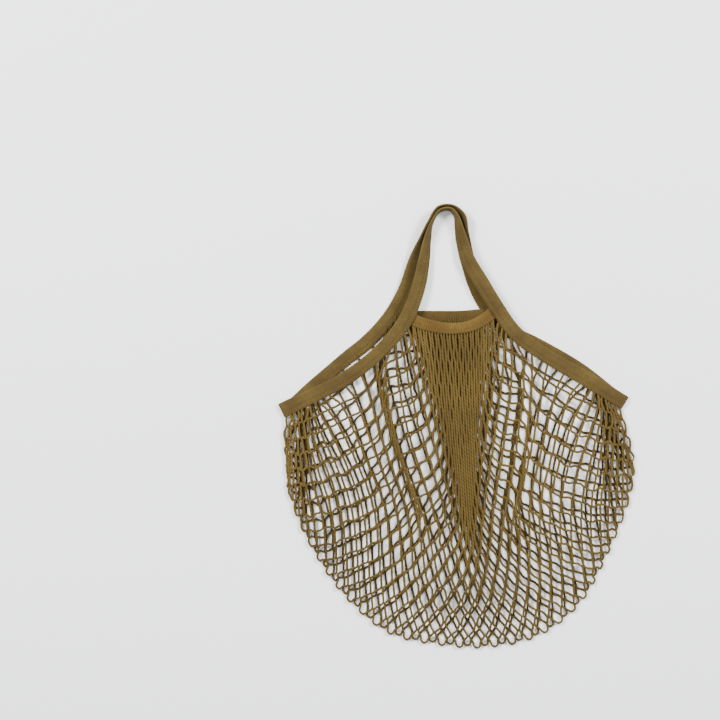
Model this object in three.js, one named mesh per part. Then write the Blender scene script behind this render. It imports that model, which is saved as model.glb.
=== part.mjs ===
// A knitted cotton net bag with two short handles, lying flat on its back.
// Millimetres, +X across the bag, +Y towards the handles, +Z up from the surface.
// The origin is under the middle of the bag's box.

import * as THREE from 'three';

// Driving dimensions
const tapeWidth = 16.5;        // knitted binding of the rim and the handles
const tapeThickness = 2.2;
const tapeBevel = 0.8;         // the soft edge of the tape
const bandWidth = 13.5;        // short band that holds the gathered top
const netThickness = 2.2;      // one strand of the net
const pieceGap = 0.5;          // clear space between neighbouring pieces
const netGap = 1.2;            // clear space between the net and the edge that it is sewn to
const foldReturn = 6;          // tape turned under at each side corner
const foldSteps = 6;           // sections round that turn
const endGap = 1.5;            // clear space between the turned end and the lower tape
const spansPerRow = 4;         // sections between two rows of a table

// The net: diamond meshes, a half row at a time
const bandMeshes = 3;          // meshes gathered under a band
const rimRows = 4;             // half rows between the band and the side corner
const netRows = 9;             // half rows between the band and the bottom
const openStrand = 2.3;        // half width of a strand bundle in the open net
const gatheredStrand = 5.5;    // the same under the band, where strands lie packed
const gatherDepth = 1.2;       // pleats along the band
const packedRows = 5;          // half rows that the packed gathers reach down from the band
const frontLift = 0.85;        // how much each knot of the upper layer stands up
const settleRounds = 400;      // passes that let the knots find their places

// A lengthwise fold in the upper layer
const pleat = { column: 1, lastRow: 6, depth: 4.5 };

// Upper tape, from the left corner over the handle to the right corner.
// Roll lowers the edge that faces the net and raises the outer one.
const frontTapeRows = [
  { x: -199, y: 19, z: 5.4, roll: 0 },
  { x: -166, y: 35, z: 6.4, roll: 0 },
  { x: -131, y: 53, z: 8.4, roll: 4 },
  { x: -95, y: 80, z: 11, roll: 10 },
  { x: -63, y: 116, z: 13.4, roll: 10 },
  { x: -46, y: 155, z: 13.2, roll: 18 },
  { x: -38, y: 192, z: 12, roll: 40 },
  { x: -34.5, y: 214, z: 10.8, roll: 60 },
  { x: -29.5, y: 233, z: 9.8, roll: 80 },
  { x: -20, y: 247, z: 9.6, roll: 84 },
  { x: -8, y: 248.5, z: 9.6, roll: 84 },
  { x: -1.5, y: 241, z: 9.6, roll: 78 },
  { x: 1.5, y: 228, z: 10, roll: 60 },
  { x: 5, y: 212, z: 11, roll: 40 },
  { x: 12, y: 191, z: 12.2, roll: 26 },
  { x: 27, y: 165, z: 13.2, roll: 16 },
  { x: 43, y: 139, z: 13.4, roll: 10 },
  { x: 67, y: 106, z: 12.4, roll: 6 },
  { x: 101, y: 81, z: 10, roll: 0 },
  { x: 146, y: 55, z: 7.2, roll: 0 },
  { x: 190, y: 28, z: 5.4, roll: 0 },
];
const frontRim = { left: 4, right: 4 };    // table spans along the net on each side

// Lower tape, between the turned ends of the upper one
const backTapeRows = [
  { x: -164, y: 46, z: 1.1, roll: 0 },
  { x: -128, y: 77, z: 1.1, roll: 0 },
  { x: -102, y: 98, z: 1.1, roll: 0 },
  { x: -76, y: 127, z: 1.4, roll: 1 },
  { x: -60, y: 155, z: 2.4, roll: 8 },
  { x: -49, y: 188, z: 3.8, roll: 18 },
  { x: -39, y: 213, z: 6.9, roll: 46 },
  { x: -33, y: 233, z: 9.2, roll: 80 },
  { x: -22, y: 250.3, z: 9.2, roll: 84 },
  { x: -6, y: 251.8, z: 9.2, roll: 84 },
  { x: 5.5, y: 241, z: 9, roll: 70 },
  { x: 6, y: 222, z: 6, roll: 36 },
  { x: 8.5, y: 205, z: 3.4, roll: 13 },
  { x: 13, y: 187, z: 1.6, roll: 2 },
  { x: 21, y: 162, z: 1.2, roll: 0 },
  { x: 33, y: 139, z: 1.1, roll: 0 },
  { x: 58, y: 111, z: 1.1, roll: 0 },
  { x: 90, y: 94, z: 1.1, roll: 0 },
  { x: 137, y: 67, z: 1.1, roll: 0 },
];
const backRim = { left: 5, right: 5 };

// The bands, from left to right, with their ends inside the tapes
const frontBandRows = [
  { x: -57, y: 125, z: 9.4, roll: 0 },
  { x: -44, y: 119, z: 9.6, roll: 0 },
  { x: -26, y: 114, z: 11, roll: 0 },
  { x: -7, y: 112, z: 11.4, roll: 0 },
  { x: 12, y: 114, z: 11, roll: 0 },
  { x: 28, y: 121, z: 9.8, roll: 0 },
  { x: 39, y: 129, z: 9.6, roll: 0 },
];
const backBandRows = [
  { x: -69, y: 127, z: 3.9, roll: 0 },
  { x: -58, y: 126.5, z: 3.9, roll: 0 },
  { x: -44, y: 126, z: 1.4, roll: 0 },
  { x: -20, y: 126, z: 1.4, roll: 0 },
  { x: 6, y: 126, z: 1.4, roll: 0 },
  { x: 22, y: 127, z: 3.9, roll: 0 },
  { x: 36, y: 128, z: 3.9, roll: 0 },
];
const frontNetOnBand = { from: 0.2, to: 0.82 };    // share of the band that the net hangs from
const backNetOnBand = { from: 0.3, to: 0.7 };

// Outline of the lying net, from the left corner round the bottom to the right corner
const outlineRows = [
  { x: -199, y: 10 },
  { x: -197, y: -38 },
  { x: -188, y: -92 },
  { x: -163, y: -147 },
  { x: -126, y: -199 },
  { x: -78, y: -238 },
  { x: -20, y: -251 },
  { x: 32, y: -254 },
  { x: 93, y: -241 },
  { x: 140, y: -205 },
  { x: 172, y: -148 },
  { x: 198, y: -82 },
  { x: 203, y: -40 },
  { x: 195, y: -6 },
  { x: 187, y: 19 },
];

// Olive-brown cotton
const tapeColour = '#78622f';
const bandColour = '#84692f';
const netColour = '#826c3a';
const cottonRoughness = 0.9;

const up = new THREE.Vector3(0, 0, 1);

function cottonMaterial(colour) {
  return new THREE.MeshStandardMaterial({ color: colour, roughness: cottonRoughness, metalness: 0 });
}

// A smooth path through a table's rows, which can be asked for its place and its section anywhere.
function tapePath(rows) {
  const curve = new THREE.CatmullRomCurve3(rows.map((row) => new THREE.Vector3(row.x, row.y, row.z)));
  const spans = rows.length - 1;

  function rollAt(t) {
    const place = t * spans;
    const before = Math.min(Math.floor(place), spans - 1);
    const degrees = THREE.MathUtils.lerp(rows[before].roll, rows[before + 1].roll, place - before);
    return THREE.MathUtils.degToRad(degrees);
  }

  // The side points to the net, or into the handle's loop
  function sectionAt(t) {
    const along = curve.getTangent(t);
    const side = new THREE.Vector3().crossVectors(along, up).normalize();
    side.applyAxisAngle(along, rollAt(t));
    const face = new THREE.Vector3().crossVectors(side, along).normalize();
    return { point: curve.getPoint(t), along, side, face };
  }

  function sections() {
    const count = spans * spansPerRow;
    return Array.from({ length: count + 1 }, (_, i) => sectionAt(i / count));
  }

  return { spans, sectionAt, sections };
}

// The tape turned under at a corner: half a turn downwards, then a short way back.
function turnedEnd(section, outward) {
  const radius = (section.point.z - tapeThickness / 2) / 2;
  const away = section.along.clone().setZ(0).normalize().multiplyScalar(outward);
  const centre = section.point.clone().addScaledVector(up, -radius);
  const turned = [];
  for (let i = 1; i <= foldSteps; i += 1) {
    const angle = (Math.PI * i) / foldSteps;
    const face = up.clone().multiplyScalar(Math.cos(angle)).addScaledVector(away, Math.sin(angle));
    turned.push({ point: centre.clone().addScaledVector(face, radius), side: section.side, face });
  }
  const last = turned[foldSteps - 1];
  turned.push({ ...last, point: last.point.clone().addScaledVector(away, -foldReturn) });
  return turned;
}

// A closed strip of tape through a list of sections.
function tapeStrip(sections, width) {
  const half = width / 2;
  const flat = half - tapeBevel;
  const rise = tapeThickness / 2;
  const profile = [[half, 0], [flat, rise], [-flat, rise], [-half, 0], [-flat, -rise], [flat, -rise]];
  const sides = profile.length;
  const vertices = [];
  const triangles = [];
  for (const { point, side, face } of sections) {
    for (const [across, above] of profile) {
      const corner = point.clone().addScaledVector(side, across).addScaledVector(face, above);
      vertices.push(corner.x, corner.y, corner.z);
    }
  }
  for (let ring = 0; ring + 1 < sections.length; ring += 1) {
    for (let i = 0; i < sides; i += 1) {
      const a = ring * sides + i;
      const b = ring * sides + ((i + 1) % sides);
      triangles.push(a, b + sides, b, a, a + sides, b + sides);
    }
  }
  const lastRing = (sections.length - 1) * sides;
  for (let i = 1; i + 1 < sides; i += 1) {
    triangles.push(0, i, i + 1);
    triangles.push(lastRing, lastRing + i + 1, lastRing + i);
  }
  return solidGeometry(vertices, triangles);
}

function solidGeometry(vertices, triangles) {
  const geometry = new THREE.BufferGeometry();
  geometry.setAttribute('position', new THREE.Float32BufferAttribute(vertices, 3));
  geometry.setIndex(triangles);
  geometry.computeVertexNormals();
  return geometry;
}

// A point just clear of the edge that faces the net.
function netEdge(path, t, width) {
  const { point, side } = path.sectionAt(t);
  return point.clone().addScaledVector(side, width / 2 + netGap);
}

const knotKey = (row, column) => `${row},${column}`;
const edgeKey = (a, b) => [a, b].sort().join(' ');

const lastColumn = bandMeshes + rimRows;

function columnsOfRow(row) {
  const widest = Math.min(bandMeshes + row, lastColumn);
  const columns = [];
  for (let column = -lastColumn; column <= lastColumn; column += 1) {
    const onLattice = Math.abs(column + bandMeshes + row) % 2 === 0;
    if (onLattice && Math.abs(column) <= widest) columns.push(column);
  }
  return columns;
}

// Knots along the sides and the bottom, in the order of the outline.
function outlineKnots() {
  const side = [];
  for (let row = rimRows; row < netRows; row += 2) side.push(row);
  const left = side.map((row) => [row, -lastColumn]);
  const bottom = columnsOfRow(netRows).map((column) => [netRows, column]);
  const right = side.map((row) => [row, lastColumn]).reverse();
  return [...left, ...bottom, ...right];
}

// Knots held by the tape, the band and the outline, with a point between each two of them.
function heldKnots({ tape, rim, band, onBand, height, gather }) {
  const held = new Map();
  const between = new Map();

  function holdRun(knots, placeAt) {
    const keys = knots.map(([row, column]) => knotKey(row, column));
    const steps = keys.length - 1;
    keys.forEach((key, i) => {
      held.set(key, placeAt(i / steps));
      if (i > 0) between.set(edgeKey(keys[i - 1], key), placeAt((i - 0.5) / steps));
    });
  }

  const outlinePoints = outlineRows.map((row) => new THREE.Vector3(row.x, row.y, height));
  const outline = new THREE.CatmullRomCurve3(outlinePoints);
  holdRun(outlineKnots(), (share) => outline.getPointAt(share));

  holdRun(columnsOfRow(0).map((column) => [0, column]), (share) => {
    const place = netEdge(band, THREE.MathUtils.lerp(onBand.from, onBand.to, share), bandWidth);
    place.z -= gather * Math.abs(Math.sin(share * bandMeshes * Math.PI));
    return place;
  });

  const sides = [
    { sign: -1, corner: outline.getPoint(0), tAt: (share) => (rim.left / tape.spans) * (1 - share) },
    { sign: 1, corner: outline.getPoint(1), tAt: (share) => 1 - (rim.right / tape.spans) * (1 - share) },
  ];
  for (const { sign, corner, tAt } of sides) {
    const bandEnd = held.get(knotKey(0, sign * bandMeshes));
    corner.z = Math.max(corner.z, netEdge(tape, tAt(1), tapeWidth).z);
    const knots = Array.from({ length: rimRows + 1 }, (_, row) => [row, sign * (bandMeshes + row)]);
    holdRun(knots, (share) => {
      if (share === 0) return bandEnd;
      return share === 1 ? corner : netEdge(tape, tAt(share), tapeWidth);
    });
  }
  return { held, between };
}

// Free knots settle at the mean of their four neighbours, as in a net pulled at its edges.
function settledKnots(held, lift) {
  const knots = new Map();
  for (let row = 0; row <= netRows; row += 1) {
    for (const column of columnsOfRow(row)) {
      const key = knotKey(row, column);
      const place = held.get(key) ?? new THREE.Vector3();
      knots.set(key, { row, column, place, free: !held.has(key) });
    }
  }
  for (const knot of knots.values()) {
    const steps = [[-1, -1], [-1, 1], [1, -1], [1, 1]];
    knot.neighbours = steps
      .map(([down, across]) => knots.get(knotKey(knot.row + down, knot.column + across)))
      .filter((other) => other);
  }
  for (let round = 0; round < settleRounds; round += 1) {
    for (const { free, place, neighbours } of knots.values()) {
      if (!free) continue;
      place.set(0, 0, 0);
      for (const other of neighbours) place.add(other.place);
      place.divideScalar(neighbours.length);
      place.z += lift;
    }
  }
  return new Map([...knots].map(([key, knot]) => [key, knot.place]));
}

function pressPleat(knots) {
  for (let row = 1; row <= pleat.lastRow; row += 1) {
    const place = knots.get(knotKey(row, pleat.column));
    if (place) place.z -= pleat.depth * (1 - row / (pleat.lastRow + 1));
  }
}

// The meshes: each is a ring of knots, counter-clockwise from above.
function netMeshes(knots) {
  const meshes = [];
  for (let row = 0; row <= netRows; row += 1) {
    for (let column = -lastColumn; column <= lastColumn; column += 1) {
      if (knots.has(knotKey(row, column))) continue;
      const ring = [[row - 1, column], [row, column - 1], [row + 1, column], [row, column + 1]]
        .map(([r, c]) => knotKey(r, c))
        .filter((key) => knots.has(key));
      if (ring.length >= 3) meshes.push({ ring, row, column });
    }
  }
  return meshes;
}

// Under the band the strands lie side by side, in a wedge that narrows downwards.
function isPacked(row, column) {
  return Math.abs(column) <= bandMeshes * (1 - row / packedRows);
}

function areaOf(points) {
  let twice = 0;
  points.forEach((p, i) => {
    const q = points[(i + 1) % points.length];
    twice += p.x * q.y - q.x * p.y;
  });
  return Math.abs(twice) / 2;
}

function perimeterOf(points) {
  return points.reduce((sum, p, i) => sum + p.distanceTo(points[(i + 1) % points.length]), 0);
}

// One layer of the net: a thin sheet over the knots, with every open mesh cut through.
function netLayer(knots, between) {
  const rise = netThickness / 2;
  const vertices = [];
  const triangles = [];
  const corners = new Map();
  const openEdges = new Map();

  function addPair(point) {
    vertices.push(point.x, point.y, point.z + rise, point.x, point.y, point.z - rise);
    const top = vertices.length / 3 - 2;
    return { top, bottom: top + 1 };
  }
  function cornerPair(name, point) {
    if (!corners.has(name)) corners.set(name, addPair(point));
    return corners.get(name);
  }
  function addQuad(a, b, c, d) {
    triangles.push(a, b, c, a, c, d);
  }

  for (const { ring, row, column } of netMeshes(knots)) {
    const rim = [];
    ring.forEach((key, i) => {
      const next = ring[(i + 1) % ring.length];
      rim.push({ name: key, point: knots.get(key) });
      const edge = edgeKey(key, next);
      if (between.has(edge)) rim.push({ name: edge, point: between.get(edge) });
    });
    const points = rim.map((entry) => entry.point);
    const outer = rim.map((entry) => cornerPair(entry.name, entry.point));
    const centre = points.reduce((sum, p) => sum.add(p), new THREE.Vector3()).divideScalar(points.length);
    const nearBand = Math.max(0, 1 - row / rimRows);
    const strand = THREE.MathUtils.lerp(openStrand, gatheredStrand, nearBand);
    const inset = strand / ((2 * areaOf(points)) / perimeterOf(points));
    const pierced = !isPacked(row, column);
    const middle = pierced ? null : addPair(centre);
    const inner = pierced ? points.map((p) => addPair(p.clone().lerp(centre, inset))) : null;
    outer.forEach((a, i) => {
      const j = (i + 1) % outer.length;
      const b = outer[j];
      if (pierced) {
        addQuad(a.top, b.top, inner[j].top, inner[i].top);
        addQuad(a.bottom, inner[i].bottom, inner[j].bottom, b.bottom);
        addQuad(inner[i].top, inner[j].top, inner[j].bottom, inner[i].bottom);
      } else {
        triangles.push(middle.top, a.top, b.top, middle.bottom, b.bottom, a.bottom);
      }
      const opposite = `${b.top} ${a.top}`;
      if (openEdges.has(opposite)) openEdges.delete(opposite);
      else openEdges.set(`${a.top} ${b.top}`, [a, b]);
    });
  }
  for (const [a, b] of openEdges.values()) addQuad(a.top, a.bottom, b.bottom, b.top);
  return solidGeometry(vertices, triangles);
}

function addPiece(group, name, geometry, material) {
  const mesh = new THREE.Mesh(geometry, material);
  mesh.name = name;
  group.add(mesh);
}

const bag = new THREE.Group();

// Upper tape with both ends turned under
const frontTape = tapePath(frontTapeRows);
const frontSections = frontTape.sections();
const leftEnd = turnedEnd(frontSections[0], -1).reverse();
const rightEnd = turnedEnd(frontSections[frontSections.length - 1], 1);
const frontStrip = tapeStrip([...leftEnd, ...frontSections, ...rightEnd], tapeWidth);
addPiece(bag, 'front_handle_tape', frontStrip, cottonMaterial(tapeColour));

// Lower tape, whose ends meet the turned ones
function endRows(section, outward) {
  const away = section.along.clone().setZ(0).normalize().multiplyScalar(outward);
  return [foldReturn + endGap, 2 * foldReturn + endGap].map((distance) => {
    const place = section.point.clone().addScaledVector(away, -distance);
    return { x: place.x, y: place.y, z: tapeThickness / 2, roll: 0 };
  });
}
const leftRows = endRows(frontSections[0], -1);
const rightRows = endRows(frontSections[frontSections.length - 1], 1).reverse();
const backTape = tapePath([...leftRows, ...backTapeRows, ...rightRows]);
addPiece(bag, 'back_handle_tape', tapeStrip(backTape.sections(), tapeWidth), cottonMaterial(tapeColour));

// Bands
const frontBand = tapePath(frontBandRows);
const backBand = tapePath(backBandRows);
addPiece(bag, 'front_band', tapeStrip(frontBand.sections(), bandWidth), cottonMaterial(bandColour));
addPiece(bag, 'back_band', tapeStrip(backBand.sections(), bandWidth), cottonMaterial(bandColour));

// Net, a layer above and a layer below
const backHeight = netThickness / 2;
const frontLayer = {
  tape: frontTape,
  rim: frontRim,
  band: frontBand,
  onBand: frontNetOnBand,
  height: backHeight + netThickness + pieceGap,
  gather: gatherDepth,
};
const backLayer = {
  tape: backTape,
  rim: backRim,
  band: backBand,
  onBand: backNetOnBand,
  height: backHeight,
  gather: 0,
};
const front = heldKnots(frontLayer);
const frontKnots = settledKnots(front.held, frontLift);
pressPleat(frontKnots);
addPiece(bag, 'net_front', netLayer(frontKnots, front.between), cottonMaterial(netColour));
const back = heldKnots(backLayer);
const backKnots = settledKnots(back.held, 0);
addPiece(bag, 'net_back', netLayer(backKnots, back.between), cottonMaterial(netColour));

export default bag;
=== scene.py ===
import bpy
import numpy as np
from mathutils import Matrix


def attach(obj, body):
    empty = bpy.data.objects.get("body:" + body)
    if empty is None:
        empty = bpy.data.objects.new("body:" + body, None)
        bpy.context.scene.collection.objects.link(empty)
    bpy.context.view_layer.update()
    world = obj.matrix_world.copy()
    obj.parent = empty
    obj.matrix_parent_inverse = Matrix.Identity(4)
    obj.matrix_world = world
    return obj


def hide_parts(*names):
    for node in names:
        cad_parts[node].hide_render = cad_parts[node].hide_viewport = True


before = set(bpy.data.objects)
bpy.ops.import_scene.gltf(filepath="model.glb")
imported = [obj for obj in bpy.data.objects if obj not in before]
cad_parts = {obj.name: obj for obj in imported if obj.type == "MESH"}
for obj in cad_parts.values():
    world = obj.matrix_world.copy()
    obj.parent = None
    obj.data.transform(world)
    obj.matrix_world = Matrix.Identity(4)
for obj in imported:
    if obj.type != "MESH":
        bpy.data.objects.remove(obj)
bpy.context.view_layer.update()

mm = 0.001
up = np.array([0.0, 0.0, 1.0])
uvLength = 10      # mm along a tape or cord for one unit of its UV map


# Camera: straight above the middle of the picture, which covers 0.828 m of the surface

view = {
    "centre": (-0.1116, 0.0759),
    "width": 0.828,
    "lens": 85.0,
    "sensor": 36.0,
    "reach": 20,
}


def addCamera():
    bpy.ops.object.select_all(action="DESELECT")
    height = view["width"] * view["lens"] / view["sensor"]
    bpy.ops.object.camera_add(location=(*view["centre"], height), rotation=(0, 0, 0))
    camera = bpy.context.object
    camera.data.lens = view["lens"]
    camera.data.sensor_width = view["sensor"]
    camera.data.clip_end = view["reach"]
    bpy.context.scene.camera = camera


addCamera()
print("camera set")


# Materials

def linearColour(code):
    values = [int(code[i:i + 2], 16) / 255 for i in (1, 3, 5)]
    return [v / 12.92 if v <= 0.04045 else ((v + 0.055) / 1.055) ** 2.4 for v in values] + [1.0]


def addNode(tree, kind, settings=None, links=None):
    node = tree.nodes.new(kind)
    for key, value in (settings or {}).items():
        if isinstance(key, int) or key in node.inputs:
            node.inputs[key].default_value = value
        else:
            setattr(node, key, value)
    for key, socket in (links or {}).items():
        tree.links.new(socket, node.inputs[key])
    return node


def newMaterial(name, shaderSettings):
    material = bpy.data.materials.new(name)
    material.use_nodes = True
    tree = material.node_tree
    shader = tree.nodes["Principled BSDF"]
    for key, value in shaderSettings.items():
        shader.inputs[key].default_value = value
    return material, tree, shader


cottonShader = {
    "Roughness": 0.92,
    "Sheen Weight": 0.06,
    "Sheen Roughness": 0.6,
    "Sheen Tint": linearColour("#d8c79a"),
    "Specular IOR Level": 0.2,
}

# Ribbed cotton knit: matt and soft, ribs across the tape with painted shade in their valleys and along the
# needle line, uneven dye
tapeCotton = {
    "light": "#54451f",
    "dark": "#433517",
    # painted shade in the ribs' valleys and the needle line's groove
    "valley": "#2d210b",
    "patch": 24,                   # mm, size of the uneven dye
    "patchRange": (0.35, 0.65),    # noise from all dark to all light
    "yarn": 1.1,                   # mm, drawn coarser than the real stitch so that it shows
    "fleckRange": (0.4, 0.7),
    "fleck": 0.5,                  # how dark the darkest flecks are
    "bump": 0.3,                   # mm
    "bumpStrength": 0.7,
}

# The band's knit is the same, a little warmer
bandCotton = dict(tapeCotton, light="#5e4a1d", dark="#4d3915", valley="#35270c")

# Its inside face lies in the shade of the bag's mouth, so it is coloured darker: painted shade
shadedInsideCotton = dict(tapeCotton, light="#4c3b18", dark="#3f3012", valley="#2c200a")


def ribbedKnit(name, look):
    material, tree, shader = newMaterial(name, cottonShader)
    place = addNode(tree, "ShaderNodeTexCoord").outputs["Object"]
    patch = addNode(tree, "ShaderNodeTexNoise", {"Scale": 1 / (look["patch"] * mm), "Detail": 3.0},
                    {"Vector": place})
    yarn = addNode(tree, "ShaderNodeTexNoise", {"Scale": 1 / (look["yarn"] * mm), "Detail": 2.0},
                   {"Vector": place})
    dyeShare = addNode(tree, "ShaderNodeMapRange",
                       {"From Min": look["patchRange"][0], "From Max": look["patchRange"][1]},
                       {"Value": patch.outputs[0]})
    dyeAndShade = addNode(tree, "ShaderNodeMix", {"data_type": "RGBA", 6: linearColour(look["dark"]),
                                          7: linearColour(look["light"])}, {0: dyeShare.outputs[0]})
    fleckShare = addNode(tree, "ShaderNodeMapRange",
                         {"From Min": look["fleckRange"][0], "From Max": look["fleckRange"][1],
                          "To Max": look["fleck"]}, {"Value": yarn.outputs[0]})
    fleck = addNode(tree, "ShaderNodeMix", {"data_type": "RGBA", 7: linearColour(look["dark"])},
                    {0: fleckShare.outputs[0], 6: dyeAndShade.outputs[2]})
    # Painted shade: the ribs' valleys and the needle line's groove are darkened
    valley = addNode(tree, "ShaderNodeAttribute", {"attribute_name": "valley"})
    ribs = addNode(tree, "ShaderNodeMix", {"data_type": "RGBA", 7: linearColour(look["valley"])},
                   {0: valley.outputs["Fac"], 6: fleck.outputs[2]})
    bump = addNode(tree, "ShaderNodeBump", {"Strength": look["bumpStrength"], "Distance": look["bump"] * mm},
                   {"Height": yarn.outputs[0]})
    tree.links.new(ribs.outputs[2], shader.inputs["Base Color"])
    tree.links.new(bump.outputs["Normal"], shader.inputs["Normal"])
    return material


# Spun cotton cord: matt, two plies twisted together with painted shade in the groove between them, each
# strand a slightly different tone, the lower layer's darker as painted shade
netCotton = {
    "light": "#5b491d",
    "dark": "#403211",
    # painted shade in the groove between the plies
    "groove": "#30230a",
    "patch": 40,                   # mm, size of the uneven dye
    "ownTone": 0.5,                # how much a strand's own tone counts beside it
    "dyeRange": (0.4, 1.1),        # tone and noise from all dark to all light
    "twist": 4.6,                  # mm, one turn of the plies
    "plies": 2,
    "grooveRange": (-0.2, -1.0),   # from a ply's flank to the bottom of the groove
    "grooveShade": 0.6,
    "bump": 0.2,                   # mm
    "bumpStrength": 0.8,
}


def spunCord(name, look):
    material, tree, shader = newMaterial(name, cottonShader)
    place = addNode(tree, "ShaderNodeTexCoord")
    apart = addNode(tree, "ShaderNodeSeparateXYZ", {}, {"Vector": place.outputs["UV"]})
    turn = addNode(tree, "ShaderNodeMath", {"operation": "MULTIPLY", 1: 2 * np.pi * uvLength / look["twist"]},
                   {0: apart.outputs["X"]})
    phase = addNode(tree, "ShaderNodeMath", {"operation": "MULTIPLY_ADD", 1: 2 * np.pi * look["plies"]},
                    {0: apart.outputs["Y"], 2: turn.outputs[0]})
    ply = addNode(tree, "ShaderNodeMath", {"operation": "SINE"}, {0: phase.outputs[0]})
    patch = addNode(tree, "ShaderNodeTexNoise", {"Scale": 1 / (look["patch"] * mm), "Detail": 3.0},
                    {"Vector": place.outputs["Object"]})
    tone = addNode(tree, "ShaderNodeAttribute", {"attribute_name": "tone"})
    mixed = addNode(tree, "ShaderNodeMath", {"operation": "MULTIPLY_ADD", 1: look["ownTone"]},
                    {0: tone.outputs["Fac"], 2: patch.outputs[0]})
    dyeShare = addNode(tree, "ShaderNodeMapRange",
                       {"From Min": look["dyeRange"][0], "From Max": look["dyeRange"][1]},
                       {"Value": mixed.outputs[0]})
    dyeAndShade = addNode(tree, "ShaderNodeMix", {"data_type": "RGBA", 6: linearColour(look["dark"]),
                                          7: linearColour(look["light"])}, {0: dyeShare.outputs[0]})
    # Painted shade, darkest at the bottom of the groove between the plies
    grooveShadeShare = addNode(tree, "ShaderNodeMapRange",
                          {"From Min": look["grooveRange"][0], "From Max": look["grooveRange"][1],
                           "To Max": look["grooveShade"]}, {"Value": ply.outputs[0]})
    cord = addNode(tree, "ShaderNodeMix", {"data_type": "RGBA", 7: linearColour(look["groove"])},
                   {0: grooveShadeShare.outputs[0], 6: dyeAndShade.outputs[2]})
    bump = addNode(tree, "ShaderNodeBump", {"Strength": look["bumpStrength"], "Distance": look["bump"] * mm},
                   {"Height": ply.outputs[0]})
    tree.links.new(cord.outputs[2], shader.inputs["Base Color"])
    tree.links.new(bump.outputs["Normal"], shader.inputs["Normal"])
    return material


# Cotton sewing thread: dyed with the tape, so the ladder of stitches reads only by its relief
threadCotton = {"colour": "#4e3f1b"}


def sewingThread(name, look):
    material, _, _ = newMaterial(name, dict(cottonShader, **{"Base Color": linearColour(look["colour"])}))
    return material


tapeKnit = ribbedKnit("ribbed_cotton_tape", tapeCotton)
bandKnit = ribbedKnit("ribbed_cotton_band", bandCotton)
shadedInsideKnit = ribbedKnit("ribbed_cotton_band_inside_shaded", shadedInsideCotton)
netCord = spunCord("spun_cotton_cord", netCotton)
sewThread = sewingThread("cotton_sewing_thread", threadCotton)
print("materials made")


# Curves and swept forms, in mm

def unit(vectors):
    return vectors / np.linalg.norm(vectors, axis=-1, keepdims=True)


# A centripetal curve through the points, with the same number of samples in each span
def splineThrough(points, samples):
    p = np.asarray(points, float)
    step = np.sqrt(np.linalg.norm(np.diff(p[:, :3], axis=0), axis=1))[:, None]
    slope = np.diff(p, axis=0) / step
    tangent = np.empty_like(p)
    tangent[1:-1] = (slope[:-1] * step[1:] + slope[1:] * step[:-1]) / (step[1:] + step[:-1])
    tangent[0], tangent[-1] = slope[0], slope[-1]
    f = np.linspace(0, 1, samples, endpoint=False)[None, :, None]
    start, end = p[:-1, None], p[1:, None]
    leave, arrive = (tangent[:-1] * step)[:, None], (tangent[1:] * step)[:, None]
    curve = (start * (2 * f ** 3 - 3 * f ** 2 + 1) + leave * (f ** 3 - 2 * f ** 2 + f)
             + end * (3 * f ** 2 - 2 * f ** 3) + arrive * (f ** 3 - f ** 2))
    return np.vstack([curve.reshape(-1, p.shape[1]), p[-1:]])


def runOf(line):
    return np.concatenate([[0], np.cumsum(np.linalg.norm(np.diff(line[:, :3], axis=0), axis=1))])


# Places along a line of points, as shares of its length
def placesOn(line, shares):
    run = runOf(line)
    want = np.asarray(shares) * run[-1]
    return np.stack([np.interp(want, run, line[:, k]) for k in range(line.shape[1])], -1)


def resampled(line, step):
    return placesOn(line, np.linspace(0, 1, int(np.ceil(runOf(line)[-1] / step)) + 1))


# A closed form swept along points, where first x second points along it
def swept(points, first, second, profileFirst, profileSecond, **attributes):
    rings, sides = profileFirst.shape
    vertices = (points[:, None] + first[:, None] * profileFirst[..., None]
                + second[:, None] * profileSecond[..., None])
    i, j = np.meshgrid(np.arange(rings - 1), np.arange(sides), indexing="ij")
    i, j = i.ravel(), j.ravel()
    nextJ = (j + 1) % sides
    quads = np.stack([i * sides + j, i * sides + nextJ, (i + 1) * sides + nextJ, (i + 1) * sides + j], -1)
    run = runOf(points) / uvLength
    uv = np.stack([np.stack([run[i], run[i], run[i + 1], run[i + 1]], -1),
                   np.stack([j, j + 1, j + 1, j], -1) / sides], -1)
    firstRing = np.arange(sides)
    caps = [firstRing[::-1], firstRing + (rings - 1) * sides]
    values = {name: np.broadcast_to(value, (rings, sides)).ravel() for name, value in attributes.items()}
    return {"vertices": vertices.reshape(-1, 3), "quads": quads, "uv": uv.reshape(-1, 2), "caps": caps,
            "values": values}


# Round thread or cord along points
def tube(points, radius, sides, **attributes):
    along = unit(np.gradient(points, axis=0))
    first = unit(np.cross(up, along) + 1e-9)      # never zero where it runs straight up
    second = np.cross(along, first)
    angle = np.arange(sides) * 2 * np.pi / sides
    radius = np.broadcast_to(radius, len(points))[:, None]
    return swept(points, first, second, radius * np.cos(angle), radius * np.sin(angle), **attributes)


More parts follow.
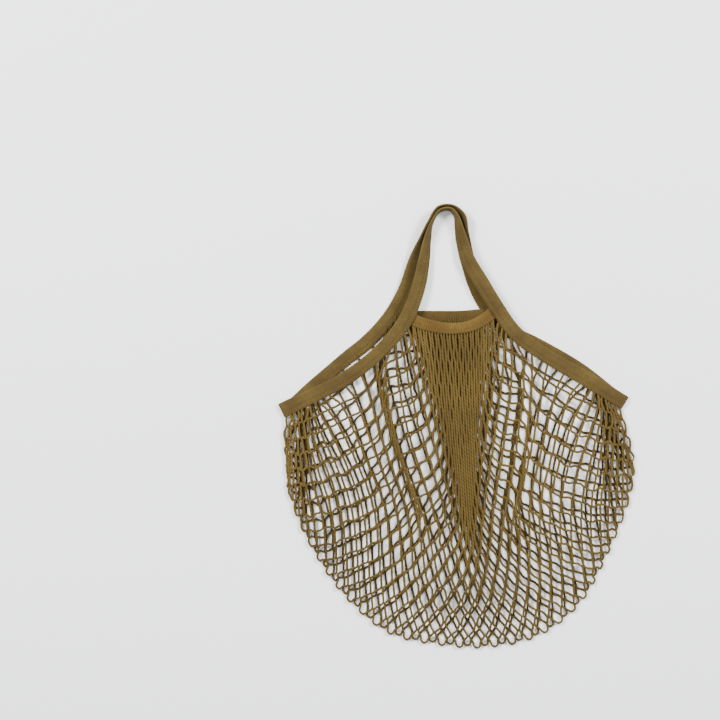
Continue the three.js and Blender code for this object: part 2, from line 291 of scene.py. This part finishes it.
def addPiece(name, forms, material, nodes=()):
    starts = np.cumsum([0] + [len(form["vertices"]) for form in forms])
    faces = []
    uv = []
    for start, form in zip(starts, forms):
        faces += (form["quads"] + start).tolist()
        uv.append(form["uv"])
    for start, form in zip(starts, forms):
        for cap in form["caps"]:
            faces.append((cap + start).tolist())
            uv.append(np.zeros((len(cap), 2)))
    mesh = bpy.data.meshes.new(name)
    mesh.from_pydata((np.vstack([form["vertices"] for form in forms]) * mm).tolist(), [], faces)
    mesh.uv_layers.new(name="UVMap").data.foreach_set("uv", np.vstack(uv).ravel())
    for key in forms[0]["values"]:
        values = np.concatenate([form["values"][key] for form in forms])
        mesh.attributes.new(key, "FLOAT", "POINT").data.foreach_set("value", values.astype(float))
    mesh.shade_smooth()
    mesh.materials.append(material)
    piece = bpy.data.objects.new(name, mesh)
    bpy.context.scene.collection.objects.link(piece)
    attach(piece, "root")
    if nodes:
        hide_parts(*nodes)
    print(name, sum(len(face) - 2 for face in faces), "triangles")


# Knitted tapes and bands, in mm

tape = {
    "width": 16.5,
    "thickness": 2.2,
    "step": 0.4,               # between sections
    "samples": 60,             # in each span of a table
    "rib": 2.5,                # pitch of the ribs, drawn coarser than the real 2 mm so that it shows
    "ribDepth": 0.1,
    "ribShade": 0.24,
    "speckle": 0.18,           # uneven shade from stitch to stitch
    "stray": 0.35,             # ribs run ahead and behind
    "strayRun": 7.3,
    "bend": 0.25,              # and aren't quite straight
    "bendRun": 11,
    "bendAcross": 2.6,
    "waver": 0.25,             # uneven width: a long wave
    "waverRun": 31,
    "ripple": 0.15,            # and a short one
    "rippleRun": 13,
    "serration": 0.3,          # teeth on the edge that the net is sewn to
    "serrationPitch": 3,
    "serrationFrom": 0.9,      # share of the half width
    "seam": 0.3,               # share of the half width where the needle line runs
    "seamWidth": 0.07,
    "seamDepth": 0.25,
    "seamShade": 0.45,
    "sewn": (0.0, 1.0),        # shares of the length between which stitches show
    "foldReturn": 6,           # turned under at the corners
    "endGap": 1.5,
    "foldSteps": 12,
}
band = dict(tape, width=13.5, sewn=(0.08, 0.92))

# Each row: x, y, z and roll in degrees
frontTapeRows = [
    (-199, 19, 5.4, 0), (-166, 35, 6.4, 0), (-131, 53, 8.4, 4), (-95, 80, 11, 10), (-63, 116, 13.4, 10),
    (-46, 155, 13.2, 18), (-38, 192, 12, 40), (-34.5, 214, 10.8, 60), (-29.5, 233, 9.8, 80),
    (-20, 247, 9.6, 84), (-8, 248.5, 9.6, 84), (-1.5, 241, 9.6, 78), (1.5, 228, 10, 60),
    (5, 212, 11, 40), (12, 191, 12.2, 26), (27, 165, 13.2, 16), (43, 139, 13.4, 10),
    (67, 106, 12.4, 6), (101, 81, 10, 0), (146, 55, 7.2, 0), (190, 28, 5.4, 0),
]
backTapeMiddle = [
    (-164, 46, 1.1, 0), (-128, 77, 1.1, 0), (-102, 98, 1.1, 0), (-76, 127, 1.4, 1), (-60, 155, 2.4, 8),
    (-49, 188, 3.8, 18), (-39, 213, 6.9, 46), (-33, 233, 9.2, 80), (-22, 250.3, 9.2, 84),
    (-6, 251.8, 9.2, 84), (5.5, 241, 9, 70), (6, 222, 6, 36), (8.5, 205, 3.4, 13), (13, 187, 1.6, 2),
    (21, 162, 1.2, 0), (33, 139, 1.1, 0), (58, 111, 1.1, 0), (90, 94, 1.1, 0), (137, 67, 1.1, 0),
]
frontBandRows = [
    (-57, 125, 9.4, 0), (-44, 119, 9.6, 0), (-26, 114, 11, 0), (-7, 112, 11.4, 0), (12, 114, 11, 0),
    (28, 121, 9.8, 0), (39, 129, 9.6, 0), (44, 132.6, 9.5, 0),
]
backBandRows = [
    (-69, 127, 3.9, 0), (-58, 126.5, 3.9, 0), (-44, 126, 1.4, 0), (-20, 126, 1.4, 0), (6, 126, 1.4, 0),
    (22, 127, 3.9, 0), (36, 128, 3.9, 0),
]


# Point, side and face of each section; the side points to the net or into the handle's loop
def sectionsOf(rows):
    curve = splineThrough(rows, tape["samples"])
    along = unit(np.gradient(curve[:, :3], axis=0))
    level = unit(np.cross(along, up))
    roll = np.radians(curve[:, 3:])
    side = level * np.cos(roll) + np.cross(along, level) * np.sin(roll)
    return np.hstack([curve[:, :3], side, np.cross(side, along)])


# The lower tape ends between the turned ends of the upper one
def backTapeRows(front):
    low = tape["thickness"] / 2
    rows = list(backTapeMiddle)
    for end, sign in ((0, 1), (-1, -1)):
        point, side, face = np.split(front[end], 3)
        inward = unit(np.cross(face, side) * (1, 1, 0)) * sign
        near = point + inward * (tape["foldReturn"] + tape["endGap"])
        far = point + inward * (2 * tape["foldReturn"] + tape["endGap"])
        added = [(*near[:2], low, 0), (*far[:2], low, 0)]
        rows = added + rows if end == 0 else rows + added[::-1]
    return rows


# Half a turn downwards at a corner, then a short way back
def turnedEnd(section, outward):
    point, side, face = np.split(section, 3)
    radius = (point[2] - tape["thickness"] / 2) / 2
    away = unit(np.cross(face, side) * (1, 1, 0)) * outward
    angle = np.linspace(0, np.pi, tape["foldSteps"] + 1)[1:, None]
    faces = up * np.cos(angle) + away * np.sin(angle)
    points = point - up * radius + faces * radius
    points = np.vstack([points, points[-1] - away * tape["foldReturn"]])
    faces = np.vstack([faces, faces[-1]])
    return np.hstack([points, np.tile(side, (len(points), 1)), faces])


# Across and above, as shares of the half width and half thickness, clockwise from the outer edge's top
tapeProfile = [
    (-0.92, 0.9), (-0.6, 1), (-0.3, 1), (0, 1), (0.3, 1), (0.5, 1), (0.62, 1), (0.74, 1), (0.92, 0.9),
    (0.985, 0.5), (1, 0), (0.985, -0.5), (0.92, -0.9), (0.45, -1), (0, -1), (-0.45, -1), (-0.92, -0.9),
    (-0.985, -0.5), (-1, 0), (-0.985, 0.5),
]


def knittedStrip(sections, look, seed):
    rng = np.random.default_rng(seed)
    line = resampled(sections, look["step"])
    point, side, face = line[:, :3], unit(line[:, 3:6]), unit(line[:, 6:])
    run = runOf(point)[:, None]
    across, above = np.array(tapeProfile).T
    half, rise = look["width"] / 2, look["thickness"] / 2
    wobble = (look["stray"] * np.sin(run / look["strayRun"])
              + look["bend"] * np.sin(across * look["bendAcross"] + run / look["bendRun"]))
    rib = 0.5 + 0.5 * np.cos(2 * np.pi * (run + wobble) / look["rib"])
    flat = np.clip((np.abs(above) - 0.5) * 2, 0, 1)      # 1 on both faces, 0 round the edges
    groove = np.exp(-((across - look["seam"]) / look["seamWidth"]) ** 2) * (above > 0) * (1 - rib)
    relief = np.sign(above) * flat * look["ribDepth"] * (2 * rib - 1)
    height = above * rise + relief - look["seamDepth"] * groove
    teeth = (np.cos(2 * np.pi * run / look["serrationPitch"]) * look["serration"]
             * (across > look["serrationFrom"]))
    waver = (look["waver"] * np.sin(run / look["waverRun"] + seed)
             + look["ripple"] * np.sin(run / look["rippleRun"]))
    width = across * (half + waver) + teeth
    speckle = rng.normal(0, look["speckle"], rib.shape)
    # Painted shade in the ribs' valleys and the needle line's groove, uneven from stitch to stitch
    valley = flat * np.clip(look["ribShade"] * (1 - rib) + speckle, 0, 1) + look["seamShade"] * groove
    return swept(point, face, side, height, width, valley=np.clip(valley, 0, 1))


# The points of its route: mm across and above, and share of the slant
stitch = {
    "pitch": 3.0,
    "radius": 0.34,
    "sides": 5,
    "samples": 2,      # in each span of its route
    "needle": 4.2,     # mm from the tape's edge to the needle line
    "slant": 0.5,
    "rising": ((-0.3, -0.45, 0), (0.2, 0.12, 0.2)),     # from the needle line and the tape's face
    "crossing": ((-2.2, 0.22, 0.5), (-0.7, 0.1, 0.8)),  # from the tape's edge and its face
    "ending": (0.2, -0.1, 1),                           # from the middle of the tape's edge
}


# A ladder of overlock stitches from the needle line over the edge
def ladderOf(sections, look):
    half, rise = look["width"] / 2, look["thickness"] / 2
    fromShare, toShare = look["sewn"]
    count = int(runOf(sections)[-1] * (toShare - fromShare) / stitch["pitch"])
    places = placesOn(sections, np.linspace(fromShare, toShare, count + 1)[1:-1])
    needle = half - stitch["needle"]
    across, above, slant = stitch["ending"]
    route = [(needle + a, rise + b, c) for a, b, c in stitch["rising"]]
    route += [(half + a, rise + b, c) for a, b, c in stitch["crossing"]]
    route.append((half + across, above, slant))
    forms = []
    for row in places:
        point, side, face = row[:3], unit(row[3:6]), unit(row[6:])
        along = np.cross(face, side)
        path = [point + side * a + face * b + along * stitch["slant"] * c for a, b, c in route]
        forms.append(tube(splineThrough(path, stitch["samples"]), stitch["radius"], stitch["sides"]))
    return forms


frontTape = sectionsOf(frontTapeRows)
backTape = sectionsOf(backTapeRows(frontTape))
frontBand = sectionsOf(frontBandRows)
backBand = sectionsOf(backBandRows)
frontWhole = np.vstack([turnedEnd(frontTape[0], -1)[::-1], frontTape, turnedEnd(frontTape[-1], 1)])

addPiece("front_tape_knit", [knittedStrip(frontWhole, tape, 1)], tapeKnit,
         ["front_handle_tape"])
addPiece("back_tape_knit", [knittedStrip(backTape, tape, 2)], tapeKnit, ["back_handle_tape"])
addPiece("front_band_knit", [knittedStrip(frontBand, band, 3)], bandKnit, ["front_band"])
# The back band shows its inside face, coloured darker as painted shade
addPiece("back_band_knit", [knittedStrip(backBand, band, 4)], shadedInsideKnit, ["back_band"])
addPiece("front_tape_stitches", ladderOf(frontTape, tape), sewThread)
addPiece("back_tape_stitches", ladderOf(backTape, tape), sewThread)
addPiece("front_band_stitches", ladderOf(frontBand, band), sewThread)


# The net: two layers of a knotless diamond net, with joints in half rows from the band to the bottom

outlineRows = [
    (-199, 10), (-197, -38), (-188, -92), (-163, -147), (-126, -199), (-78, -238), (-20, -251), (32, -254),
    (93, -241), (140, -205), (172, -148), (198, -82), (203, -40), (195, -6), (187, 19),
]

frontNet = {
    "seed": 3,
    "bandMeshes": 15,
    "rimRows": 18,
    "rows": 26,
    "outlineSamples": 30,           # in each span of the outline
    "inset": 0.0,                   # mm that the layer ends inside the outline
    "loopShift": 0.0,               # its loops along the outline, so that both layers' lie between each other
    "openBottom": -0.05,            # below 0, loops are wider along the bottom than at the sides
    "rimJoints": (0, 0.27, 0.53, 1),    # shares of the rim's joints, from the band outwards
    "rimRun": (0, 0.2, 0.77, 1),    # and of its length: crowded by the band and the corner
    "gatherRows": 19,               # packed strands under the band, in a wedge that narrows downwards
    "gatherCore": 0.95,             # share of the band's meshes that starts packed
    "gatherTaper": 1.7,             # how fast the wedge narrows at first
    "gatherShift": 1,               # columns that its foot lies to the right of the band's middle
    "gatherFringe": 13,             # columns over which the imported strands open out
    "fringeLoss": 0.5,              # share of them lost at the wedge's foot
    "gatherOver": 2,                # half rows past the foot where the gathers end
    "gatherFade": 6,                # and over which they do
    "gatherLean": 0.7,              # mm to the right for each half row
    "packed": 2.6,                  # mm aside from joint to joint
    "open": 11.0,
    "stretch": 0.9,                 # how taut packed strands are
    "grip": 6.0,                    # how firmly packed strands keep together
    "packedHold": 0.25,             # the same in each round
    "stagger": 4.0,                 # mm, joints of packed strands up or down
    "squareFrom": 16,               # half row from which the meshes open out to squares
    "squareFade": 5,
    "squareReach": 23,              # columns from the middle where that ends
    "squareEdge": 10,
    "squareGrip": 1.5,              # how firmly squares keep their form
    "squareHold": 0.1,              # the same in each round
    "bar": 16.8,                    # mm of strand from joint to joint
    "push": 0.2,                    # how much strands resist bunching
    "sideReach": 22,                # columns from the side over which that sets in
    "sideSqueeze": 0.3,             # strands seen shorter where the net folds under at the sides
    "squeezeFade": 2.5,
    "lengthRounds": 460,            # rounds in which strands come to their length
    "overshoot": 1.5,               # quickens the rounds
    "smoothRounds": 380,            # of them also evened out, before the uneven lay
    "smooth": 0.04,
    "waves": 8,                     # uneven lay
    "waveLength": 22,
    "waveHeight": 1.6,
    "jitter": 1.3,
    "sidePull": 0.6,                # how far strands are drawn to the outline at the sides
    "sideDepth": 14,                # mm from the outline over which that fades
    "sideFrom": 120,                # mm from the middle where the sides begin
    "sideFade": 40,
    "folds": ((176, -25, 0.2), (-182, -30, 0.2)),    # x, y and how far strands are drawn together there
    "foldReach": (30, 65),          # mm across and along a fold
    "edgeHeight": 3.6,              # strand centres along the sides and the bottom
    "dome": 19.4,                   # the highest joint
    "sag": 0.4,                     # mm, strands between their joints
    "tonesAndShade": (0.4, 1.0),            # of single strands, at random; the lower layer's are darker: painted shade from the upper layer
}
# The lower layer's darker tones are painted shade from the upper layer
backNet = dict(frontNet, seed=8, inset=2.5, loopShift=0.5, gatherRows=21, gatherCore=0.6, gatherLean=0.9,
               packed=3.0, waveHeight=2.6, folds=((172, -25, 0.9), (-176, -30, 0.7)),
               edgeHeight=2.4, dome=2.4, sag=1.0, tonesAndShade=(0.0, 0.4))

# Each layer is sewn on between these shares of its band and these rows of its tape's table
frontSeam = {"band": (0.06, 0.95), "left": (4.1, 0), "right": (16.4, 20)}
backSeam = {"band": (0.2, 0.95), "left": (5, 0), "right": (17.4, 22)}
netSeam = {
    "inward": 1,       # mm from the tape's edge
    "drop": 0.6,       # mm below its middle
    "points": 60,
}


# The edge that the net hangs from, as lines of points from the band outwards
def netEdges(tapeSections, bandSections, sewn):
    def edge(sections, width):
        return sections[:, :3] + sections[:, 3:6] * (width / 2 - netSeam["inward"]) - up * netSeam["drop"]

    def between(line, places):
        first, last = (int(round(place * tape["samples"])) for place in places)
        return line[first:last + 1] if first < last else line[last:first + 1][::-1]

    bandLine = placesOn(edge(bandSections, band["width"]), np.linspace(*sewn["band"], netSeam["points"]))
    tapeLine = edge(tapeSections, tape["width"])
    return {"band": bandLine,
            "left": np.vstack([bandLine[:1], between(tapeLine, sewn["left"])]),
            "right": np.vstack([bandLine[-1:], between(tapeLine, sewn["right"])])}


# Joints by half row and column, and the bars of strand between them
def latticeOf(net):
    index = {}
    for row in range(net["rows"] + 1):
        reach = min(net["bandMeshes"] + row, net["bandMeshes"] + net["rimRows"])
        if row == net["rows"]:
            reach -= 1
        for column in range(-reach, reach + 1):
            if (column + net["bandMeshes"] + row) % 2 == 0:
                index[(row, column)] = len(index)
    bars = [(i, index[(r + 1, c + d)]) for (r, c), i in index.items() for d in (-1, 1)
            if (r + 1, c + d) in index]
    return index, np.array(bars)


# Free joints where their bars come closest to the wanted runs, each lifted by the same amount
def relaxed(values, held, bars, firm=1.0, wanted=0.0, lift=0.0):
    count = len(values)
    upper, lower = bars.T
    firm = np.broadcast_to(firm, len(bars))
    matrix = np.zeros((count, count))
    matrix[upper, lower] = matrix[lower, upper] = -firm
    total = -matrix.sum(1)
    matrix[np.diag_indices(count)] = total
    right = np.repeat((total * lift)[:, None], values.shape[1], 1)
    pulls = np.broadcast_to(wanted, (len(bars), values.shape[1])) * firm[:, None]
    np.add.at(right, lower, pulls)
    np.add.at(right, upper, -pulls)
    matrix[held] = np.eye(count)[held]
    right[held] = values[held]
    return np.linalg.solve(matrix, right)


# How gathered each joint is: 1 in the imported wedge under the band, falling to 0 over its fringe
def gatheredShare(net, index):
    row, column = np.array(list(index)).T
    down = np.clip(row / net["gatherRows"], 0, 1)
    core = net["gatherCore"] * net["bandMeshes"] * (1 - down) ** net["gatherTaper"]
    fringe = net["gatherFringe"] * (1 - net["fringeLoss"] * down)
    share = np.clip(1 - (np.abs(column - net["gatherShift"] * down) - core) / fringe, 0, 1)
    share = share * share * (3 - 2 * share)
    return share * np.clip((net["gatherRows"] + net["gatherOver"] - row) / net["gatherFade"], 0, 1)


# Joints that stay where they are: round the outline, along the rim and under the band
def heldJoints(net, edges, index, outline):
    meshes, rim, rows = net["bandMeshes"], net["rimRows"], net["rows"]
    last = meshes + rim
    place = np.zeros((len(index), 3))
    held = np.zeros(len(index), bool)

    def hold(joints, points):
        for joint, point in zip(joints, points):
            place[index[joint]] = point
            held[index[joint]] = True

    sideRows = list(range(rim, rows, 2))
    bottom = [(r, c) for r, c in index if r == rows]
    around = [(r, -last) for r in sideRows] + bottom + [(r, last) for r in reversed(sideRows)]
    share = np.linspace(0, 1, len(around))
    share = share + net["openBottom"] * np.sin(2 * np.pi * share) / (2 * np.pi)
    hold(around, placesOn(outline, np.clip(share + net["loopShift"] / len(around), 0, 1)))
    ramp = np.interp(np.linspace(0, 1, rim + 1)[1:], net["rimJoints"], net["rimRun"])
    hold([(r, meshes + r) for r in range(1, rim + 1)], placesOn(edges["right"], ramp))
    hold([(r, -meshes - r) for r in range(1, rim + 1)], placesOn(edges["left"], ramp))
    columns = np.arange(-meshes, meshes + 1, 2)
    hold([(0, c) for c in columns], placesOn(edges["band"], (columns + meshes) / (2 * meshes)))
    return place, held


# The runs that bars have in the gathers and in open meshes, and how far each bar belongs to either
def wantedRuns(net, index, bars, place, gathered):
    upper, lower = bars.T
    row, column = np.array(list(index)).T
    sign = column[lower] - column[upper]

    # Gathers: taut strands side by side under the band, opening out to both sides and downwards
    packedShare = (gathered[upper] + gathered[lower]) / 2
    aside = net["packed"] + (net["open"] - net["packed"]) * (1 - packedShare)
    down = np.sqrt(net["bar"] ** 2 - aside ** 2) * net["stretch"]
    packed = np.stack([sign * aside + net["gatherLean"], -down], -1)

    # Along the bottom the meshes hang open, square to the outline
    bottom = row == net["rows"]
    pitch = np.gradient(place[bottom, :2], axis=0) / 2
    half = np.stack([np.interp(column[lower], column[bottom], pitch[:, k]) for k in (0, 1)], -1)
    deep = np.sqrt(np.maximum(net["bar"] ** 2 - (half ** 2).sum(1), 1))[:, None]
    square = sign[:, None] * half + unit(half)[:, ::-1] * (1, -1) * deep
    squareShare = np.clip((row[lower] - net["squareFrom"]) / net["squareFade"], 0, 1) * (1 - packedShare)
    fromReach = net["squareReach"] - np.abs(column[lower])
    squareShare = squareShare * np.clip(fromReach / net["squareEdge"], 0, 1)
    return packed, packedShare[:, None], square, squareShare[:, None]


# At the sides the net turns under: strands are drawn to the outline and into folds
def drawSides(net, place, free, outline):
    toEdge = outline[None, :, :2] - place[:, None, :2]
    toEdge = toEdge[np.arange(len(place)), (toEdge ** 2).sum(2).argmin(1)]
    near = np.exp(-np.linalg.norm(toEdge, axis=1) / net["sideDepth"])
    side = np.clip((np.abs(place[:, 0]) - net["sideFrom"]) / net["sideFade"], 0, 1)
    place[:, :2] += free * toEdge * (net["sidePull"] * near * side)[:, None]
    for x, y, pull in net["folds"]:
        fromFold = place[:, :2] - (x, y)
        near = np.exp(-((fromFold / net["foldReach"]) ** 2).sum(1))
        place[:, 0] -= free[:, 0] * pull * near * fromFold[:, 0]


# Pinned at the edges, with a low dome between them; the lower layer is flat
def heightsOf(net, place, held, bars):
    if net["dome"] <= net["edgeHeight"]:
        return net["edgeHeight"]
    level = relaxed(place[:, 2:], held, bars)
    dome = relaxed(np.zeros((len(place), 1)), held, bars, lift=1.0)
    swell = ((net["dome"] - level[~held]) / dome[~held]).min()
    return level + dome * swell


# Where every joint of a layer lies
def netLay(net, edges, index, bars):
    rng = np.random.default_rng(net["seed"])
    count = len(index)
    upper, lower = bars.T
    outline = splineThrough([(x, y, net["edgeHeight"]) for x, y in outlineRows], net["outlineSamples"])
    outline = outline - unit((outline - outline.mean(0)) * (1, 1, 0)) * net["inset"]
    place, held = heldJoints(net, edges, index, outline)
    gathered = gatheredShare(net, index)
    packed, packedShare, square, squareShare = wantedRuns(net, index, bars, place, gathered)
    firm = (1 + (net["grip"] - 1) * packedShare + net["squareGrip"] * squareShare)[:, 0]
    place[:, :2] = relaxed(place[:, :2], held, bars, firm, packed * packedShare + square * squareShare)
    free = (~held)[:, None].astype(float)
    loose = free * (1 - gathered)[:, None]
    waves = [(rng.normal(0, 1, 2) / net["waveLength"], rng.uniform(0, 2 * np.pi),
              rng.normal(0, net["waveHeight"], 2)) for _ in range(net["waves"])]
    jitter = rng.normal(0, net["jitter"], (count, 2))

    # Strands keep their length: they can't stretch, and resist bunching a little
    degree = (np.bincount(upper, minlength=count) + np.bincount(lower, minlength=count))[:, None]
    column = np.abs([c for _, c in index])
    fromSide = net["bandMeshes"] + net["rimRows"] - np.maximum(column[upper], column[lower])
    bar = net["bar"] * (1 - net["sideSqueeze"] * np.exp(-fromSide / net["squeezeFade"]))[:, None]
    push = net["push"] * (1 - packedShare) * np.clip(fromSide / net["sideReach"], 0, 1)[:, None]
    for k in range(net["lengthRounds"]):
        apart = place[lower, :2] - place[upper, :2]
        length = np.linalg.norm(apart, axis=1, keepdims=True)
        off = length - bar
        off = np.where(off > 0, off, off * push)
        move = apart / length * off / np.maximum(free[upper] + free[lower], 1)
        move += ((apart - packed) * packedShare * net["packedHold"]
                 + (apart - square) * squareShare * net["squareHold"])
        total = np.zeros((count, 2))
        near = np.zeros((count, 2))
        np.add.at(total, upper, move)
        np.add.at(total, lower, -move)
        np.add.at(near, upper, place[lower, :2])
        np.add.at(near, lower, place[upper, :2])
        place[:, :2] += free * total / degree * net["overshoot"]
        if k < net["smoothRounds"]:
            place[:, :2] += loose * (near / degree - place[:, :2]) * net["smooth"]
        if k == net["smoothRounds"]:
            shift = sum(np.sin(place[:, :2] @ wave + phase)[:, None] * height
                        for wave, phase, height in waves)
            place[:, :2] += (shift + jitter) * loose
    place[:, 1:2] += free * gathered[:, None] * rng.uniform(-1, 1, (count, 1)) * net["stagger"]
    drawSides(net, place, free, outline)
    place[:, 2:] = heightsOf(net, place, held, bars)
    return place


strand = {
    "diameter": 2.65,                   # drawn thicker, and fewer, than the real cords
    "sides": 6,
    "samples": 6,                       # in each span of its line
    "step": 1.7,
    "joint": 2.0,                       # half length of a joint where strands are packed
    "openJoint": 0.45,                  # share of it where the net is open
    "jointReach": 0.22,                 # most of the way to the next joint
    "beside": 0.9,                      # radii from a joint's middle to each of its strands
    "bow": 1.6,                         # most that a slack strand bends aside
    "bowRun": (37, 29),                 # mm over which strands change the side they bend to
    "hold": 4.0,                        # strand end inside the tape
    "thin": 0.65,                       # share of the strand's thickness there, squeezed by the seam
    "thinFade": 3.0,                    # mm over which it grows to the whole
    "apart": 1.5,                       # both strands of a joint at the band's edge to either side
    "loop": 0.15,                       # how round the loops at the outline are
    "shoulder": 0.6,
    "uneven": ((0.05, 13), (0.04, 5.1)),    # shares of the thickness and mm of run
    "phases": 6.28,                     # where those waves start, at most
    "clear": 0.05,                      # mm above the surface
    "toneSeed": 100,                    # added to the layer's seed
}


# Is this joint sewn into the band or the tape?
def isHeld(net, joint):
    return joint[0] == 0 or abs(joint[1]) == net["bandMeshes"] + joint[0]


# Each strand zigzags down between two columns of joints, turns at the bottom and comes up again
def strandPaths(net, index):
    meshes, rim, rows = net["bandMeshes"], net["rimRows"], net["rows"]
    starts = [((0, c), d) for c in range(-meshes, meshes + 1, 2) for d in (-1, 1) if abs(c + d) < meshes]
    starts += [((r, sign * (meshes + r)), -sign) for r in range(1, rim + 1) for sign in (-1, 1)]
    used = set()
    paths = []
    for (r, c), across in starts:
        down = 1
        path = [(r, c)]
        while len(path) == 1 or not isHeld(net, (r, c)):
            step = (r + down, c + across)
            bar = frozenset([(r, c), step])
            if step not in index or bar in used:
                break
            used.add(bar)
            path.append(step)
            r, c = step
            if r == rows:
                down = -1
            else:
                across = -across
        if len(path) > 1:
            paths.append(path)
    return paths


# The middle line of each strand
def strandLines(net, place, index, paths):
    around = {(r, c): [(r + y, c + x) for y in (-1, 1) for x in (-1, 1) if (r + y, c + x) in index]
              for r, c in index}
    half = strand["diameter"] / 2 * strand["beside"]
    gathered = gatheredShare(net, index)
    lines = []
    for path in paths:
        controls = []
        for k, joint in enumerate(path):
            here = place[index[joint]]
            share = gathered[index[joint]]
            if joint[0] == 0:
                beyond = path[1] if k == 0 else path[k - 1]
                here = here + np.array([beyond[1] - joint[1], 0, 0]) * strand["apart"]
            inside = 0 < k < len(path) - 1
            neighbours = np.array([place[index[n]] for n in around[joint]])
            if k == 0:
                controls.append(here - unit(place[index[path[1]]] - here) * strand["hold"])
            if inside and len(neighbours) >= 3 and joint[0] < net["rows"]:
                before, after = place[index[path[k - 1]]], place[index[path[k + 1]]]
                wale = unit((after - before) * (1, 1, 0))
                reach = strand["joint"] * (strand["openJoint"] + (1 - strand["openJoint"]) * share)
                nearest = np.linalg.norm(neighbours - here, axis=1).min()
                reach = min(reach, strand["jointReach"] * nearest)
                towards = np.sign(path[k + 1][1] - joint[1]) * np.sign(path[k + 1][0] - joint[0])
                beside = here + np.cross(up, wale) * towards * half
                controls += [beside - wale * reach, beside, beside + wale * reach]
            elif inside and len(neighbours) == 2:
                before, after = place[index[path[k - 1]]], place[index[path[k + 1]]]
                shoulder = here + ((before + after) / 2 - here) * strand["loop"] * strand["shoulder"]
                spread = (after - before) * strand["loop"]
                controls += [shoulder - spread, here, shoulder + spread]
            else:
                controls.append(here)
            if k + 1 < len(path):
                there = place[index[path[k + 1]]]
                length = np.linalg.norm(there - here)
                slack = max(net["bar"] - length, 0)
                bend = np.sin(here[0] / strand["bowRun"][0] + here[1] / strand["bowRun"][1] + net["seed"])
                arc = np.sqrt(3 / 8 * slack * length)      # rise of a shallow arc with that slack
                bow = min(strand["bow"] * length / net["bar"], arc)
                bow *= bend * (1 - share)
                controls.append((here + there) / 2 + unit(np.cross(up, there - here)) * bow - up * net["sag"])
            elif isHeld(net, joint):
                controls.append(here + unit(here - place[index[path[k - 1]]]) * strand["hold"])
        lines.append(resampled(splineThrough(controls, strand["samples"]), strand["step"]))
    return lines


def strandForms(net, lines):
    rng = np.random.default_rng(net["seed"] + strand["toneSeed"])
    half = strand["diameter"] / 2
    (slow, slowRun), (quick, quickRun) = strand["uneven"]
    forms = []
    for line in lines:
        run = runOf(line)
        phase = rng.uniform(0, strand["phases"], 2)
        radius = half * (1 + slow * np.sin(run / slowRun + phase[0])
                         + quick * np.sin(run / quickRun + phase[1]))
        fromEnd = np.minimum(run, run[-1] - run) - strand["hold"]
        radius = radius * np.interp(fromEnd / strand["thinFade"], (0, 1), (strand["thin"], 1))
        line[:, 2] = np.maximum(line[:, 2], radius + strand["clear"])
        # Each strand's tone is random; the lower layer's darker range is painted shade
        forms.append(tube(line, radius, strand["sides"], tone=rng.uniform(*net["tonesAndShade"])))
    return forms


def addNet(name, net, edges, node):
    index, bars = latticeOf(net)
    place = netLay(net, edges, index, bars)
    paths = strandPaths(net, index)
    addPiece(name, strandForms(net, strandLines(net, place, index, paths)), netCord, [node])


addNet("net_front_strands", frontNet, netEdges(frontTape, frontBand, frontSeam), "net_front")
addNet("net_back_strands", backNet, netEdges(backTape, backBand, backSeam), "net_back")


# Studio: a plain pale surface, soft keys from the upper left and right and even fill

studio = {
    "floor": "#f8fafa",
    "floorSize": 8.0,
    "keys": ((-1.15, 0.8, 1.6), (1.25, 0.9, 1.6)),
    "keySize": 0.6,
    "keyPower": 68,
    "fill": 0.95,
}


def addStudio():
    bpy.ops.object.select_all(action="DESELECT")
    bpy.ops.mesh.primitive_plane_add(size=studio["floorSize"], location=(0, 0, 0))
    floor = bpy.context.object
    floor.name = "floor"
    # Matt white paper: bounces light back up between the strands
    paper, _, _ = newMaterial("white_paper", {"Base Color": linearColour(studio["floor"]), "Roughness": 0.9,
                                              "Specular IOR Level": 0.1})
    floor.data.materials.append(paper)
    bpy.ops.object.select_all(action="DESELECT")
    for place in studio["keys"]:
        bpy.ops.object.light_add(type="AREA", location=place, rotation=(0, 0, 0))
        key = bpy.context.object
        key.data.size = studio["keySize"]
        key.data.energy = studio["keyPower"]
        key.rotation_euler = (-key.location).to_track_quat("-Z", "Y").to_euler()
    world = bpy.data.worlds.new("studio_light")
    world.use_nodes = True
    world.node_tree.nodes["Background"].inputs["Color"].default_value = (1, 1, 1, 1)
    world.node_tree.nodes["Background"].inputs["Strength"].default_value = studio["fill"]
    bpy.context.scene.world = world


addStudio()
print("studio set")
